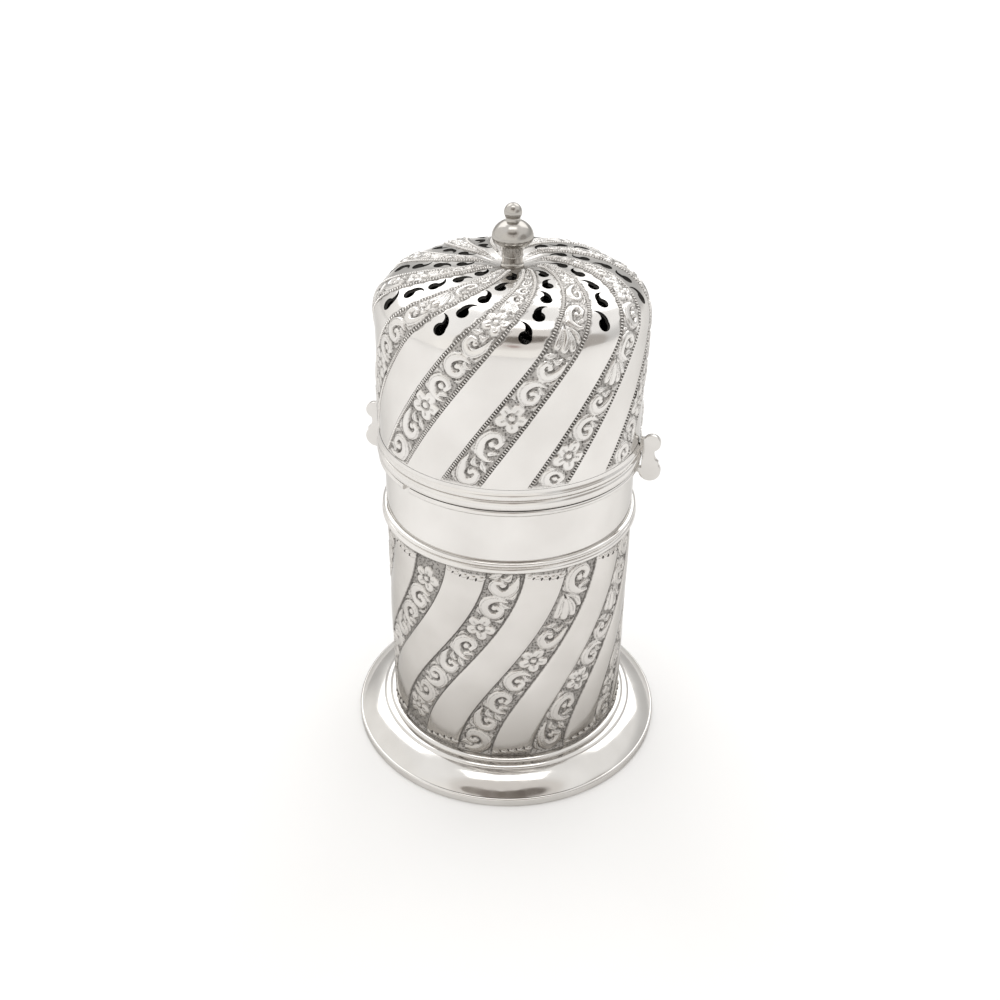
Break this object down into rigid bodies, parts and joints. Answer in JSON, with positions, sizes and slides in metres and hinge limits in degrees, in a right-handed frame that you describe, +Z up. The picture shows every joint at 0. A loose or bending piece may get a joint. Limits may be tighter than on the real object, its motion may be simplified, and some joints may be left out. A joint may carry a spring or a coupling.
{
  "type": "sugar caster",
  "caption": "Silver sugar caster: a swirl-chased drum on a spreading foot, with a pierced domed cover that locks by a bayonet turn and carries a turned finial.",
  "frame": {"origin": "centre of the foot's underside, on the plane the caster stands on", "axes": "+Z up along the caster's axis; +X through the right-hand lug when the cover is locked"},
  "size_m": [0.075, 0.075, 0.1301],
  "materials": {
    "polished_silver": "polished",
    "chased_silver": "chased, with darkened recesses",
    "inner_silver": "satin"
  },
  "bodies": {
    "body": {"foot_rim": "polished_silver", "foot_flange": "polished_silver", "foot_bead": "polished_silver", "base_plate": "inner_silver", "barrel": "chased_silver", "girdle_wire": "polished_silver", "collar": "polished_silver", "lip": "polished_silver"},
    "cover": {"cover_shell": "chased_silver", "cover_moulding": "polished_silver", "cover_bezel": "inner_silver", "lug_right": "polished_silver", "lug_left": "polished_silver", "finial": "polished_silver", "finial_nut": "inner_silver"}
  },
  "joints": [
    {"name": "cover_turn", "type": "hinge", "parent": "body", "child": "cover", "pos_m": [0, 0, 0.0754], "axis": [0, 0, 1], "range_deg": [0, 55]}
  ]
}
